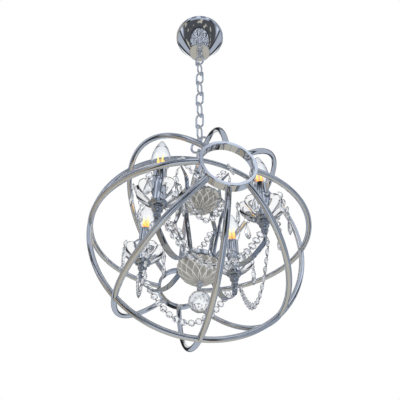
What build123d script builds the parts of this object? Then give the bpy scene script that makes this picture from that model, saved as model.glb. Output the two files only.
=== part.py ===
from build123d import *
import os
from math import atan2, cos, degrees, pi, radians, sin, sqrt

# Orb chandelier. Origin: centre of the ceiling bar's top face, against the ceiling. +Z is up,
# so the whole lamp lies below z = 0. The orb's own axis, hoop to hoop, runs along Y.
# Heights named *_z that belong to the inner chandelier count from the orb's centre.

os.makedirs("parts", exist_ok=True)

# ceiling fixing and canopy
bar_length = 104.0
bar_width = 20.0
bar_thickness = 3.0
ceiling_hole_spacing = 80.0
ceiling_hole_radius = 2.5
canopy_radius = 61.5
canopy_depth = 72.0
canopy_rim = 8.0
canopy_shoulder = 3.5
canopy_wall = 1.2
boss_radius = 25.5
nipple_radius = 5.0
nipple_bore = 3.0
locknut_flats = 14.0
locknut_height = 4.0
thread_clearance = 0.05
slip_clearance = 0.3

# loop, chain and hanging ring
collar_radius = 9.0
collar_height = 5.5
loop_mean_radius = 6.5
loop_wire = 2.0
quick_link_length = 42.5
quick_link_width = 26.0
quick_link_wire = 2.25
link_count = 7
link_length = 47.9
link_width = 21.7
link_wire = 2.15
link_gap = 0.3
ring_radius = 23.0
ring_wire = 2.5
chain_azimuth = 45.0

# orb cage
crown_drop = 457.0
orb_radius = 195.0
tube_radius = 5.0
tube_wall = 1.2
arc_count = 8
hoop_radius = 46.0
hoop_wall = 6.0
hoop_width = 15.0
hoop_lead = 0.3
arc_seat = 3.0
hoop_edge = 0.8
weld_gap = 0.15

# hanger stem
eye_mean_radius = 5.5
eye_wire = 2.0
stem_radius = 7.0
stem_bore = 3.6
stem_reach = 35.0
stem_flare = 10.0
stem_flare_height = 5.0
inlet_rise = 10.0
inlet_radius = 3.0

# inner frame
frame_azimuth = 45.0
arm_count = 4
candle_radius = 127.5
arm_width = 12.0
arm_thickness = 2.2
arm_top_z = -42.0
strap_width = 9.0
strap_thickness = 1.8
strap_neck_radius = 44.6
hub_top_z = 88.5
hub_plate = 3.0
hub_knob_radius = 12.0
drum_radius = 28.5
drum_top_z = -45.0
drum_bottom_z = -60.0
drum_wall = 3.0

# glass bowls, finial and ball
upper_rim_radius = 35.5
upper_bottom_z = 62.0
lower_rim_radius = 39.7
lower_rim_z = -64.0
lower_bottom_z = -94.0
bowl_wall = 3.0
stud_radius = 3.0
finial_radius = 5.0
finial_height = 9.5
ball_radius = 18.7
pin_wire = 0.8
ball_eye_radius = 2.6

# candles
cup_top_z = -17.0
cup_radius = 9.0
petal_radius = 16.5
petal_rim_z = -11.0
petal_wall = 1.2
bobeche_radius = 41.0
bobeche_rim_z = 15.0
bobeche_wall = 3.0
sleeve_radius = 12.0
sleeve_wall = 0.8
sleeve_top_z = 65.0
holder_radius = 10.8
holder_top_z = 47.0
holder_depth = 26.0
cap_radius = 7.0
cap_length = 25.0
bulb_radius = 17.6
bulb_widest_z = 86.0
bulb_tip_z = 135.5
bulb_wall = 0.9

# crystals
bead_thickness = 5.0
bead_bevel = 50.0
bead_gap = 0.3
string_bead_width = 13.0
hook_length = 5.5
hook_radius = 0.7
drop_length = 34.0
drop_radius = 7.5

orb_z = -crown_drop - orb_radius
stem_end_z = orb_radius - stem_reach
inlet_z = orb_radius + inlet_rise
arc_end_y = sqrt(orb_radius**2 - (hoop_radius - arc_seat) ** 2)
hoop_face = arc_end_y + hoop_width / 2 + hoop_lead
loop_z = -canopy_depth - collar_height - loop_mean_radius


def radial_plane(azimuth, z=0.0):
    """Upright plane through the lamp's axis: local x runs outwards, local y runs up."""
    a = radians(azimuth)
    return Plane(origin=(0, 0, z), x_dir=(cos(a), sin(a), 0), z_dir=(sin(a), -cos(a), 0))


def candle_point(n):
    """Centre of candle n, in plan."""
    a = radians(frame_azimuth + n * 360 / arm_count)
    return candle_radius * cos(a), candle_radius * sin(a)


def candle_plane(n):
    """Upright plane through the axis of candle n, level with the orb's centre."""
    x, y = candle_point(n)
    return Plane(origin=(x, y, orb_z), x_dir=(1, 0, 0), z_dir=(0, -1, 0))


def strip(path, width, thickness):
    """Flat bar bent along a path in the upright plane through X, heights from the orb's centre."""
    with BuildPart() as bar:
        with BuildSketch(Plane(origin=path @ 0, x_dir=(0, -1, 0), z_dir=path % 0)):
            Rectangle(width, thickness)
        sweep(path=path)
    return bar.part


def save(part, name):
    part.label = name
    export_step(part, f"parts/{name}.step")


# ---------------------------------------------------------------- ceiling fixing
with BuildPart() as ceiling_crossbar:
    with BuildSketch():
        SlotOverall(bar_length, bar_width)
        with GridLocations(ceiling_hole_spacing, 0, 2, 1):
            Circle(ceiling_hole_radius, mode=Mode.SUBTRACT)
        Circle(nipple_radius + thread_clearance, mode=Mode.SUBTRACT)
    extrude(amount=-bar_thickness)
save(ceiling_crossbar.part, "ceiling_crossbar")

with BuildPart() as nipple_locknut:
    with BuildSketch(Plane.XY.offset(-bar_thickness)):
        RegularPolygon(locknut_flats / 2, 6, major_radius=False)
        Circle(nipple_radius + thread_clearance, mode=Mode.SUBTRACT)
    extrude(amount=-locknut_height)
save(nipple_locknut.part, "nipple_locknut")

# ---------------------------------------------------------------- canopy
with BuildPart() as canopy:
    with BuildSketch(Plane.XZ):
        with BuildLine():
            Polyline(
                (canopy_radius - canopy_wall, 0),
                (canopy_radius, 0),
                (canopy_radius, -canopy_rim),
                (canopy_radius - canopy_shoulder, -canopy_rim - canopy_shoulder / 2),
            )
            shoulder = (canopy_radius - canopy_shoulder, -canopy_rim - canopy_shoulder / 2)
            waist = (boss_radius + 20, -canopy_depth * 0.58)
            ThreePointArc(shoulder, waist, (boss_radius, -canopy_depth))
            Line((boss_radius, -canopy_depth), (nipple_radius + slip_clearance, -canopy_depth))
            Line(
                (nipple_radius + slip_clearance, -canopy_depth),
                (nipple_radius + slip_clearance, -canopy_depth + canopy_wall),
            )
            Line(
                (nipple_radius + slip_clearance, -canopy_depth + canopy_wall),
                (boss_radius - canopy_wall, -canopy_depth + canopy_wall),
            )
            inner_waist = (waist[0] - canopy_wall, waist[1] + canopy_wall / 2)
            inner_shoulder = (shoulder[0] - canopy_wall, shoulder[1] + canopy_wall / 2)
            ThreePointArc(
                (boss_radius - canopy_wall, -canopy_depth + canopy_wall), inner_waist, inner_shoulder
            )
            Polyline(
                inner_shoulder,
                (canopy_radius - canopy_wall, -canopy_rim + canopy_wall / 2),
                (canopy_radius - canopy_wall, 0),
            )
        make_face()
    revolve(axis=Axis.Z)
save(canopy.part, "canopy")

with BuildPart() as canopy_loop:
    with BuildSketch(Plane.XY.offset(-canopy_depth)):
        Circle(collar_radius)
    extrude(amount=-collar_height)
    fillet(canopy_loop.edges().sort_by(Axis.Z)[0], 1.5)
    with BuildSketch(Plane.XY.offset(-canopy_depth)):
        Circle(nipple_radius + thread_clearance)
    extrude(amount=-collar_height + 1.5, mode=Mode.SUBTRACT)
    with Locations(radial_plane(chain_azimuth, loop_z)):
        Torus(loop_mean_radius, loop_wire)
save(canopy_loop.part, "canopy_loop")

nipple_top = -0.5
nipple_end = -canopy_depth - collar_height + 1.8
with BuildPart() as threaded_nipple:
    with BuildSketch(Plane.XY.offset(nipple_top)):
        Circle(nipple_radius)
        Circle(nipple_bore, mode=Mode.SUBTRACT)
    extrude(amount=nipple_end - nipple_top)
save(threaded_nipple.part, "threaded_nipple")


# ---------------------------------------------------------------- chain
def oval_link(azimuth, top, length, width, wire):
    """One welded oval link: top is the height of the upper bend's wire centre."""
    side = (width - 2 * wire) / 2
    half = (length - 2 * wire) / 2
    straight = half - side
    with BuildPart() as link:
        with BuildLine(radial_plane(azimuth, top - half)) as path:
            Line((side, -straight), (side, straight))
            ThreePointArc((side, straight), (0, half), (-side, straight))
            Line((-side, straight), (-side, -straight))
            ThreePointArc((-side, -straight), (0, -half), (side, -straight))
        with BuildSketch(Plane(origin=path.line @ 0, z_dir=path.line % 0)):
            Circle(wire)
        sweep()
    return link.part


# height of each lower wire's centre, from the canopy loop downwards
hang_z = loop_z - loop_mean_radius
top_z = hang_z + loop_wire + quick_link_wire + link_gap
save(
    oval_link(-chain_azimuth, top_z, quick_link_length, quick_link_width, quick_link_wire),
    "quick_link",
)
hang_z = top_z - quick_link_length + 2 * quick_link_wire
pivots = [loop_z - loop_mean_radius, hang_z]
upper_wire = quick_link_wire
for n in range(link_count):
    side_sign = 1 if n % 2 == 0 else -1
    top_z = hang_z + upper_wire + link_wire + link_gap
    link = oval_link(side_sign * chain_azimuth, top_z, link_length, link_width, link_wire)
    save(link, f"chain_link_{n + 1}")
    hang_z = top_z - link_length + 2 * link_wire
    pivots.append(hang_z)
    upper_wire = link_wire

ring_mean = ring_radius - ring_wire
ring_z = hang_z + link_wire + ring_wire + link_gap - ring_mean
with BuildPart(radial_plane(-chain_azimuth, ring_z)) as hanging_ring:
    Torus(ring_mean, ring_wire)
save(hanging_ring.part, "hanging_ring")
eye_hang_z = ring_z - ring_mean
pivots.append(eye_hang_z)

# ---------------------------------------------------------------- hanger stem
eye_z = eye_hang_z + ring_wire + link_gap + eye_wire - eye_mean_radius
stem_top = eye_z - eye_mean_radius + eye_wire / 2
stem_bottom = orb_z + stem_end_z
with BuildPart() as hanger_stem:
    with BuildSketch(Plane.XY.offset(stem_bottom)):
        Circle(stem_radius)
    extrude(amount=stem_top - stem_bottom)
    fillet(hanger_stem.edges().sort_by(Axis.Z)[-1], 2)
    with BuildSketch(Plane.XY.offset(stem_bottom)):
        Circle(stem_flare)
    with BuildSketch(Plane.XY.offset(stem_bottom + stem_flare_height)):
        Circle(stem_radius)
    loft()
    with Locations(radial_plane(chain_azimuth, eye_z)):
        Torus(eye_mean_radius, eye_wire)
    with BuildSketch(Plane.XY.offset(stem_bottom)):
        Circle(stem_bore)
    extrude(amount=inlet_z - stem_end_z, mode=Mode.SUBTRACT)
    # side inlet for the supply lead
    with BuildSketch(Plane(origin=(0, 0, orb_z + inlet_z), z_dir=(0, 1, 0))):
        Circle(inlet_radius)
    extrude(amount=2 * stem_radius, mode=Mode.SUBTRACT)
save(hanger_stem.part, "hanger_stem")

# ---------------------------------------------------------------- orb cage
equator_plane = Plane(origin=(0, 0, orb_z), x_dir=(1, 0, 0), z_dir=(0, 1, 0))
with BuildPart(equator_plane) as equator_ring:
    Torus(orb_radius, tube_radius)
    Torus(orb_radius, tube_radius - tube_wall, mode=Mode.SUBTRACT)
    with BuildSketch(Plane.XY.offset(orb_z)):
        Circle(stem_radius + weld_gap)
    extrude(amount=orb_radius + 2 * tube_radius, mode=Mode.SUBTRACT)
save(equator_ring.part, "equator_ring")


def cage_arcs(side):
    """Quarter tubes from one hoop to the equator ring: side is -1 in front and 1 behind."""
    with BuildPart() as arcs:
        for n in range(arc_count):
            a = 2 * pi * n / arc_count
            out = (cos(a), 0, sin(a))
            plane = Plane(origin=(0, 0, orb_z), x_dir=out, z_dir=Vector(out).cross(Vector(0, side, 0)))
            bend = orb_radius * sqrt(0.5)
            with BuildLine(plane) as path:
                ThreePointArc((hoop_radius - arc_seat, arc_end_y), (bend, bend), (orb_radius, 0))
            with BuildSketch(Plane(origin=path.line @ 0, z_dir=path.line % 0)):
                Circle(tube_radius)
                Circle(tube_radius - tube_wall, mode=Mode.SUBTRACT)
            sweep(path=path.line)
        with Locations(equator_plane):
            Torus(orb_radius, tube_radius + weld_gap, mode=Mode.SUBTRACT)
        hoop_plane = Plane(origin=(0, 0, orb_z), x_dir=(1, 0, 0), z_dir=(0, side, 0))
        with BuildSketch(hoop_plane.offset(hoop_face + hoop_width)):
            Circle(hoop_radius + weld_gap)
        extrude(amount=-3 * hoop_width, mode=Mode.SUBTRACT)
        with BuildSketch(Plane.XY.offset(orb_z + orb_radius - 3 * tube_radius)):
            Circle(stem_radius + weld_gap)
        extrude(amount=6 * tube_radius, mode=Mode.SUBTRACT)
    return arcs.part


def end_hoop(side):
    """Flat steel hoop that the arcs are welded to."""
    plane = Plane(origin=(0, 0, orb_z), x_dir=(1, 0, 0), z_dir=(0, side, 0))
    with BuildPart() as hoop:
        with BuildSketch(plane.offset(hoop_face)):
            Circle(hoop_radius)
            Circle(hoop_radius - hoop_wall, mode=Mode.SUBTRACT)
        extrude(amount=-hoop_width)
        chamfer(hoop.edges().filter_by(GeomType.CIRCLE), hoop_edge)
    return hoop.part


save(cage_arcs(-1), "front_arcs")
save(cage_arcs(1), "back_arcs")
save(end_hoop(-1), "front_hoop")
save(end_hoop(1), "back_hoop")

# ---------------------------------------------------------------- upper hub and bowl
hub_plate_radius = strap_neck_radius - strap_thickness / 2 - weld_gap
hub_bottom_z = hub_top_z - hub_plate
with BuildPart() as upper_hub:
    with BuildSketch(radial_plane(0, orb_z)):
        with BuildLine():
            Polyline(
                (0, hub_bottom_z),
                (hub_plate_radius, hub_bottom_z),
                (hub_plate_radius, hub_top_z),
                (hub_knob_radius, hub_top_z + 3),
            )
            ThreePointArc((hub_knob_radius, hub_top_z + 3), (7, hub_top_z + 14), (5, hub_top_z + 30))
            ThreePointArc((5, hub_top_z + 30), (hub_knob_radius, hub_top_z + 42), (6, hub_top_z + 54))
            ThreePointArc((6, hub_top_z + 54), (6, stem_end_z - 8), (stem_flare, stem_end_z))
            Polyline((stem_flare, stem_end_z), (0, stem_end_z), (0, hub_bottom_z))
        make_face()
    revolve(axis=Axis.Z)
save(upper_hub.part, "upper_hub")


def bowl(name, rim_radius, rim_z, bottom_z, hole):
    """Moulded glass bowl with a drilled bottom: the outer curve bulges below its chord."""
    mid_r = rim_radius * 0.78
    mid_z = bottom_z + (rim_z - bottom_z) * 0.34
    foot = hole + 4
    with BuildPart() as glass:
        with BuildSketch(radial_plane(0, orb_z)):
            with BuildLine():
                ThreePointArc((foot, bottom_z), (mid_r, mid_z), (rim_radius, rim_z))
                Line((rim_radius, rim_z), (rim_radius - bowl_wall, rim_z))
                ThreePointArc(
                    (rim_radius - bowl_wall, rim_z),
                    (mid_r - bowl_wall * 0.75, mid_z + bowl_wall * 0.75),
                    (foot, bottom_z + bowl_wall),
                )
                Polyline(
                    (foot, bottom_z + bowl_wall),
                    (hole, bottom_z + bowl_wall),
                    (hole, bottom_z),
                    (foot, bottom_z),
                )
            make_face()
        revolve(axis=Axis.Z)
    save(glass.part, name)


stud_hole = stud_radius + slip_clearance
bowl("upper_bowl", upper_rim_radius, hub_bottom_z - link_gap, upper_bottom_z, stud_hole)

with BuildPart() as upper_bowl_screw:
    with BuildSketch(Plane.XY.offset(orb_z + hub_bottom_z)):
        Circle(stud_radius)
    extrude(amount=upper_bottom_z - link_gap - hub_bottom_z)
    with BuildSketch(Plane.XY.offset(orb_z + upper_bottom_z - link_gap)):
        Circle(2 * stud_radius)
    extrude(amount=-stud_radius)
    fillet(upper_bowl_screw.edges().sort_by(Axis.Z)[0], 0.8 * stud_radius)
save(upper_bowl_screw.part, "upper_bowl_screw")

# ---------------------------------------------------------------- basket straps
strap_end = drum_radius + weld_gap + strap_thickness / 2
strap_neck_top = 98.0
strap_neck_bottom = hub_bottom_z - 1
strap_tip = (66, 125)
neck_top = (strap_neck_radius, strap_neck_top)
neck_bottom = (strap_neck_radius, strap_neck_bottom)
strap_foot = (strap_end, drum_top_z + 0.5)
with BuildLine(Plane.XZ) as strap_path:
    Spline(strap_tip, (54, 117), neck_top, tangents=((-1, 0), (0, -1)))
    Line(neck_top, neck_bottom)
    Spline(
        neck_bottom,
        (49, 71),
        (57, 50),
        (47, 27),
        (41, 5),
        (36, -14),
        strap_foot,
        tangents=((0, -1), (0, -1)),
    )
    Line(strap_foot, (strap_end, drum_top_z - 5))
strap_bar = strip(strap_path.line, strap_width, strap_thickness)
for n in range(arm_count):
    with BuildPart() as strap:
        with Locations((0, 0, orb_z)):
            add(strap_bar, rotation=(0, 0, frame_azimuth + n * 360 / arm_count))
    save(strap.part, f"basket_strap_{n + 1}")

# ---------------------------------------------------------------- lower hub and arms
with BuildPart() as lower_hub:
    with BuildSketch(Plane.XY.offset(orb_z + drum_top_z)):
        Circle(drum_radius)
    extrude(amount=drum_bottom_z - drum_top_z)
    with BuildSketch(Plane.XY.offset(orb_z + drum_top_z)):
        Circle(drum_radius - drum_wall)
    extrude(amount=drum_bottom_z - drum_top_z + drum_wall, mode=Mode.SUBTRACT)
    fillet(lower_hub.edges().sort_by(Axis.Z)[0], 1.5)
    with BuildSketch(Plane.XY.offset(orb_z + drum_bottom_z)):
        Circle(stud_radius + thread_clearance)
    extrude(amount=drum_wall, mode=Mode.SUBTRACT)
save(lower_hub.part, "lower_hub")

arm_low = (79, -85)
with BuildLine(Plane.XZ) as arm_path:
    Line((candle_radius, arm_top_z), (candle_radius, arm_top_z - 6))
    Spline((candle_radius, arm_top_z - 6), (117, -66), arm_low, tangents=((0, -1), (-1, 0)))
    Spline(arm_low, (47, -69), (drum_radius - 2, -52), tangents=((-1, 0), (-0.8, 0.6)))
arm_bar = strip(arm_path.line, arm_width, arm_thickness)
for n in range(arm_count):
    with BuildPart() as arm:
        with Locations((0, 0, orb_z)):
            add(arm_bar, rotation=(0, 0, frame_azimuth + n * 360 / arm_count))
        with BuildSketch(Plane.XY.offset(orb_z + drum_bottom_z - 5)):
            Circle(drum_radius + weld_gap)
        extrude(amount=drum_top_z - drum_bottom_z + 20, mode=Mode.SUBTRACT)
    save(arm.part, f"arm_{n + 1}")

# ---------------------------------------------------------------- lower bowl, finial and ball
bowl("lower_bowl", lower_rim_radius, lower_rim_z, lower_bottom_z, stud_hole)

finial_top = orb_z + lower_bottom_z - link_gap
finial_bottom = finial_top - finial_height
hook_z = finial_bottom - ball_eye_radius
ball_eye_z = hook_z - 2 * ball_eye_radius + 2 * pin_wire + 2 * link_gap
ball_z = ball_eye_z - ball_eye_radius - ball_radius + pin_wire / 2
with BuildPart() as bowl_finial:
    with BuildSketch(Plane.XZ):
        with BuildLine():
            Polyline(
                (0, orb_z + drum_bottom_z + drum_wall),
                (stud_radius, orb_z + drum_bottom_z + drum_wall),
                (stud_radius, finial_top),
                (finial_radius + 1.5, finial_top),
            )
            middle = (finial_radius - 1.5, finial_top - 3.5)
            ThreePointArc((finial_radius + 1.5, finial_top), middle, (finial_radius, finial_top - 6))
            Polyline(
                (finial_radius, finial_top - 6),
                (finial_radius, finial_bottom + 2),
                (finial_radius - 2, finial_bottom),
                (0, finial_bottom),
                (0, orb_z + drum_bottom_z + drum_wall),
            )
        make_face()
    revolve(axis=Axis.Z)
    with Locations(radial_plane(0, hook_z)):
        Torus(ball_eye_radius, pin_wire)
save(bowl_finial.part, "bowl_finial")

with BuildPart() as crystal_ball:
    with Locations((0, 0, ball_z)):
        Sphere(ball_radius)
    with Locations(radial_plane(90, ball_eye_z)):
        Torus(ball_eye_radius, pin_wire)
save(crystal_ball.part, "crystal_ball")

# ---------------------------------------------------------------- candles
cup_stud_top = cup_top_z + 15
with BuildPart() as arm_cups:
    for n in range(arm_count):
        with BuildSketch(candle_plane(n)):
            with BuildLine():
                Polyline((0, arm_top_z), (4.5, arm_top_z), (4.5, arm_top_z + 2))
                ThreePointArc((4.5, arm_top_z + 2), (6.6, arm_top_z + 7), (5, arm_top_z + 12))
                ThreePointArc((5, arm_top_z + 12), (cup_radius, arm_top_z + 18), (6.5, cup_top_z))
                Polyline(
                    (6.5, cup_top_z),
                    (stud_radius, cup_top_z),
                    (stud_radius, cup_stud_top),
                    (0, cup_stud_top),
                    (0, arm_top_z),
                )
            make_face()
        revolve(axis=Axis(origin=candle_plane(n).origin, direction=(0, 0, 1)))
save(arm_cups.part, "arm_cups")

with BuildPart() as petal_cups:
    for n in range(arm_count):
        with BuildSketch(candle_plane(n)):
            with BuildLine():
                Polyline(
                    (stud_hole, cup_top_z),
                    (cup_radius, cup_top_z),
                    (petal_radius, petal_rim_z),
                    (petal_radius - petal_wall, petal_rim_z + petal_wall / 2),
                    (cup_radius, cup_top_z + petal_wall),
                    (stud_hole, cup_top_z + petal_wall),
                    close=True,
                )
            make_face()
        revolve(axis=Axis(origin=candle_plane(n).origin, direction=(0, 0, 1)))
save(petal_cups.part, "petal_cups")

bobeche_foot = 6.0
bobeche_base_z = cup_top_z + petal_wall + 0.2
petal_pass = (petal_radius, petal_rim_z + petal_wall / 2 + 0.7)
for n in range(arm_count):
    with BuildPart() as bobeche:
        with BuildSketch(candle_plane(n)):
            with BuildLine():
                Polyline((stud_hole, bobeche_base_z), (bobeche_foot, bobeche_base_z), petal_pass)
                ThreePointArc(petal_pass, (32, 1.5), (bobeche_radius, bobeche_rim_z))
                inner_rim = (bobeche_radius - bobeche_wall * 0.8, bobeche_rim_z)
                inner_pass = (petal_pass[0] - bobeche_wall / 2, petal_pass[1] + bobeche_wall * 0.75)
                Line((bobeche_radius, bobeche_rim_z), inner_rim)
                ThreePointArc(inner_rim, (32 - 2, 1.5 + 1.9), inner_pass)
                Polyline(
                    inner_pass,
                    (bobeche_foot, bobeche_base_z + bobeche_wall),
                    (stud_hole, bobeche_base_z + bobeche_wall),
                    (stud_hole, bobeche_base_z),
                )
            make_face()
        revolve(axis=Axis(origin=candle_plane(n).origin, direction=(0, 0, 1)))
    save(bobeche.part, f"glass_bobeche_{n + 1}")

sleeve_bottom_z = bobeche_base_z + bobeche_wall + 3.9
for n in range(arm_count):
    with BuildPart() as sleeve:
        with BuildSketch(Plane(origin=(*candle_point(n), orb_z + sleeve_bottom_z))):
            Circle(sleeve_radius)
            Circle(sleeve_radius - sleeve_wall, mode=Mode.SUBTRACT)
        extrude(amount=sleeve_top_z - sleeve_bottom_z)
    save(sleeve.part, f"candle_sleeve_{n + 1}")

holder_bottom_z = sleeve_bottom_z
with BuildPart() as lampholders:
    for n in range(arm_count):
        with BuildSketch(Plane(origin=(*candle_point(n), orb_z + holder_bottom_z))):
            Circle(holder_radius)
        extrude(amount=holder_top_z - holder_bottom_z)
        with BuildSketch(Plane(origin=(*candle_point(n), orb_z + holder_top_z))):
            Circle(cap_radius + slip_clearance)
        extrude(amount=-holder_depth, mode=Mode.SUBTRACT)
        with BuildSketch(Plane(origin=(*candle_point(n), orb_z + holder_bottom_z))):
            Circle(stud_radius + thread_clearance)
        extrude(amount=cup_stud_top - holder_bottom_z + 1, mode=Mode.SUBTRACT)
save(lampholders.part, "lampholders")

cap_top_z = holder_top_z + 1.5
neck_radius = cap_radius - 1.5
for n in range(arm_count):
    axis = Axis(origin=candle_plane(n).origin, direction=(0, 0, 1))
    with BuildPart() as bulb_cap:
        with BuildSketch(candle_plane(n)):
            with BuildLine():
                Polyline(
                    (0, cap_top_z - cap_length),
                    (3, cap_top_z - cap_length),
                    (cap_radius, cap_top_z - cap_length + 4),
                    (cap_radius, cap_top_z),
                    (neck_radius - slip_clearance, cap_top_z),
                    (2.2, cap_top_z + 6),
                    (2.2, bulb_widest_z - 14),
                    (0, bulb_widest_z - 12),
                    close=True,
                )
            make_face()
        revolve(axis=axis)
    save(bulb_cap.part, f"bulb_cap_{n + 1}")
    with BuildPart() as bulb_glass:
        with BuildSketch(candle_plane(n)):
            with BuildLine():
                outer = Spline(
                    (cap_radius, cap_top_z + 0.1),
                    (10, sleeve_top_z - 2),
                    (bulb_radius, bulb_widest_z),
                    (12.2, bulb_tip_z - 21),
                    (4.2, bulb_tip_z - 5),
                    (0, bulb_tip_z),
                    tangents=((0, 1), (-1, 0)),
                )
                Line((0, bulb_tip_z), (0, bulb_tip_z - bulb_wall))
                Spline(
                    (0, bulb_tip_z - bulb_wall),
                    (4.2 - bulb_wall * 0.7, bulb_tip_z - 5 - bulb_wall * 0.6),
                    (12.2 - bulb_wall * 0.85, bulb_tip_z - 21 - bulb_wall * 0.4),
                    (bulb_radius - bulb_wall, bulb_widest_z),
                    (10 - bulb_wall, sleeve_top_z - 2 + bulb_wall * 0.4),
                    (neck_radius, cap_top_z + 0.1),
                    tangents=((1, 0), (0, -1)),
                )
                Line((neck_radius, cap_top_z + 0.1), (cap_radius, cap_top_z + 0.1))
            make_face()
        revolve(axis=axis)
    save(bulb_glass.part, f"bulb_glass_{n + 1}")


# ---------------------------------------------------------------- crystals
def octagon_bead(width):
    """Bevelled octagon lying flat, its corners on the local x axis."""
    with BuildPart() as bead:
        with BuildSketch():
            RegularPolygon(width / 2, 8)
        extrude(amount=bead_thickness / 2, both=True, taper=bead_bevel)
    return bead.part


def swag(radius, z, sag, edge, count):
    """Four swags of octagons, each hooked to the sides of two neighbouring straps or arms."""
    places = []
    hooks = []
    for n in range(arm_count):
        azimuth = frame_azimuth + n * 360 / arm_count
        ends = []
        for side, at in ((1, azimuth), (-1, azimuth + 360 / arm_count)):
            a = radians(at)
            x, y, height = polar(radius, at, z)
            sideways = (-side * sin(a), side * cos(a))
            inner = edge + bead_gap / 2
            outer = edge + hook_length
            foot = (x + inner * sideways[0], y + inner * sideways[1], height)
            hooks.append(Plane(origin=foot, z_dir=(*sideways, 0)))
            ends.append((x + outer * sideways[0], y + outer * sideways[1], height))
        start, end = ends
        middle = ((start[0] + end[0]) / 2, (start[1] + end[1]) / 2, start[2] - 2 * sag)
        a = radians(azimuth + 180 / arm_count)
        with BuildLine() as hang:
            Bezier(start, middle, end)
        curve = hang.edge()
        for i in range(count):
            u = (i + 0.5) / count
            places.append(Plane(origin=curve @ u, x_dir=curve % u, z_dir=(cos(a), sin(a), 0)))
    bead = octagon_bead(curve.length / count - bead_gap)
    with BuildPart() as beads:
        with BuildSketch(*hooks):
            Circle(hook_radius)
        extrude(amount=hook_length - 3 * bead_gap)
        with Locations(*places):
            add(bead)
    return beads.part


def polar(radius, azimuth, z):
    """Point at a radius and azimuth about the lamp's axis, z counted from the orb's centre."""
    a = radians(azimuth)
    return (radius * cos(a), radius * sin(a), orb_z + z)


save(swag(strap_tip[0] - 3, strap_tip[1] - 0.5, 32, strap_width / 2, 8), "crown_garlands")
save(swag(57, 50, 48, strap_width / 2, 9), "bowl_garlands")
save(swag(candle_radius, arm_top_z - 3, 77, arm_width / 2, 16), "arm_garlands")

# drop strings: azimuth round the dish and number of octagons, candle by candle
string_plan = [
    [(10, 1), (70, 1), (130, 1), (190, 1), (250, 1), (310, 2)],
    [(15, 1), (80, 1), (146, 3), (210, 1), (270, 1), (325, 1)],
    [(5, 1), (60, 1), (125, 1), (185, 1), (240, 1), (300, 1)],
    [(354, 2), (34, 3), (110, 1), (175, 1), (235, 1), (295, 1)],
]
with BuildPart() as almond:
    with BuildSketch(Plane.XZ):
        with BuildLine():
            widest = -0.66 * drop_length
            ThreePointArc((0, 0), (drop_radius * 0.6, -drop_length * 0.3), (drop_radius, widest))
            ThreePointArc((drop_radius, widest), (0, -drop_length), (-drop_radius, widest))
            ThreePointArc((-drop_radius, widest), (-drop_radius * 0.6, -drop_length * 0.3), (0, 0))
        make_face()
    extrude(amount=drop_radius * 0.4, both=True, taper=25)
almond_part = almond.part
string_bead = octagon_bead(string_bead_width)
bead_places = []
drop_places = []
for n in range(arm_count):
    x, y = candle_point(n)
    for azimuth, beads in string_plan[n]:
        a = radians(azimuth)
        reach = bobeche_radius + bead_thickness / 2 + bead_gap
        px = x + reach * cos(a)
        py = y + reach * sin(a)
        z = orb_z + bobeche_rim_z + string_bead_width / 2 - 1.5
        for i in range(beads):
            centre = (px, py, z - string_bead_width / 2)
            bead_places.append(Plane(origin=centre, x_dir=(0, 0, 1), z_dir=(cos(a), sin(a), 0)))
            z -= string_bead_width + bead_gap
        drop_places.append(Plane(origin=(px, py, z), x_dir=(-sin(a), cos(a), 0), z_dir=(0, 0, 1)))
with BuildPart() as crystal_drops:
    with Locations(*bead_places):
        add(string_bead)
    with Locations(*drop_places):
        add(almond_part)
save(crystal_drops.part, "crystal_drops")
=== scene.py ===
import bmesh
import bpy
import math
from mathutils import Matrix, Vector


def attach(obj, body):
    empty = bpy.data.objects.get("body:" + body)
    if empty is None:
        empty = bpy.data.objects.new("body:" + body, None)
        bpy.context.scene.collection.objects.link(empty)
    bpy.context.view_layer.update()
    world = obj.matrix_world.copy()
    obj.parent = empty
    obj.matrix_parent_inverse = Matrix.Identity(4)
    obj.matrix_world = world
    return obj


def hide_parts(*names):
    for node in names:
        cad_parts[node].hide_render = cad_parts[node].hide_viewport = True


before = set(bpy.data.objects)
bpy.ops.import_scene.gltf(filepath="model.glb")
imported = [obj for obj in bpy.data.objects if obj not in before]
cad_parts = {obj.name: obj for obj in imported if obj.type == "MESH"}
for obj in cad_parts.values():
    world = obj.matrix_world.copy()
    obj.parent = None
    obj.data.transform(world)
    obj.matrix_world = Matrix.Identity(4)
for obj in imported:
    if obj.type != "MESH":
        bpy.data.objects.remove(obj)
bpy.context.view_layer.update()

# ---- Camera, backdrop and light ----------------------------------------------------------------
# The lamp is seen from well below and a little to its left, looking up at its canopy. A pale warm
# floor lies under it, the backdrop is white and soft light comes from the left and the right.
scene = bpy.context.scene
scene.view_settings.view_transform = "Standard"
UP = Vector((0, 0, 1))


def aim(obj, place, forward):
    """Puts a camera or lamp at a place, looking forwards, with its top kept upwards."""
    f = Vector(forward).normalized()
    right = f.cross(UP).normalized()
    turn = Matrix((right, right.cross(f), -f)).transposed()
    obj.matrix_world = Matrix.Translation(place) @ turn.to_4x4()


# The place and the direction were solved from the circles of the cage in the photo.
CAMERA_PLACE = (-0.16148, -0.70517, -1.16918)
CAMERA_FORWARD = (0.17208, 0.74793, 0.64109)
camera_data = bpy.data.cameras.new("camera")
camera_data.sensor_width = 36.0
camera_data.lens = 44.05
camera_data.clip_start = 0.01
camera = bpy.data.objects.new("camera", camera_data)
scene.collection.objects.link(camera)
aim(camera, CAMERA_PLACE, CAMERA_FORWARD)
scene.camera = camera


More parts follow.
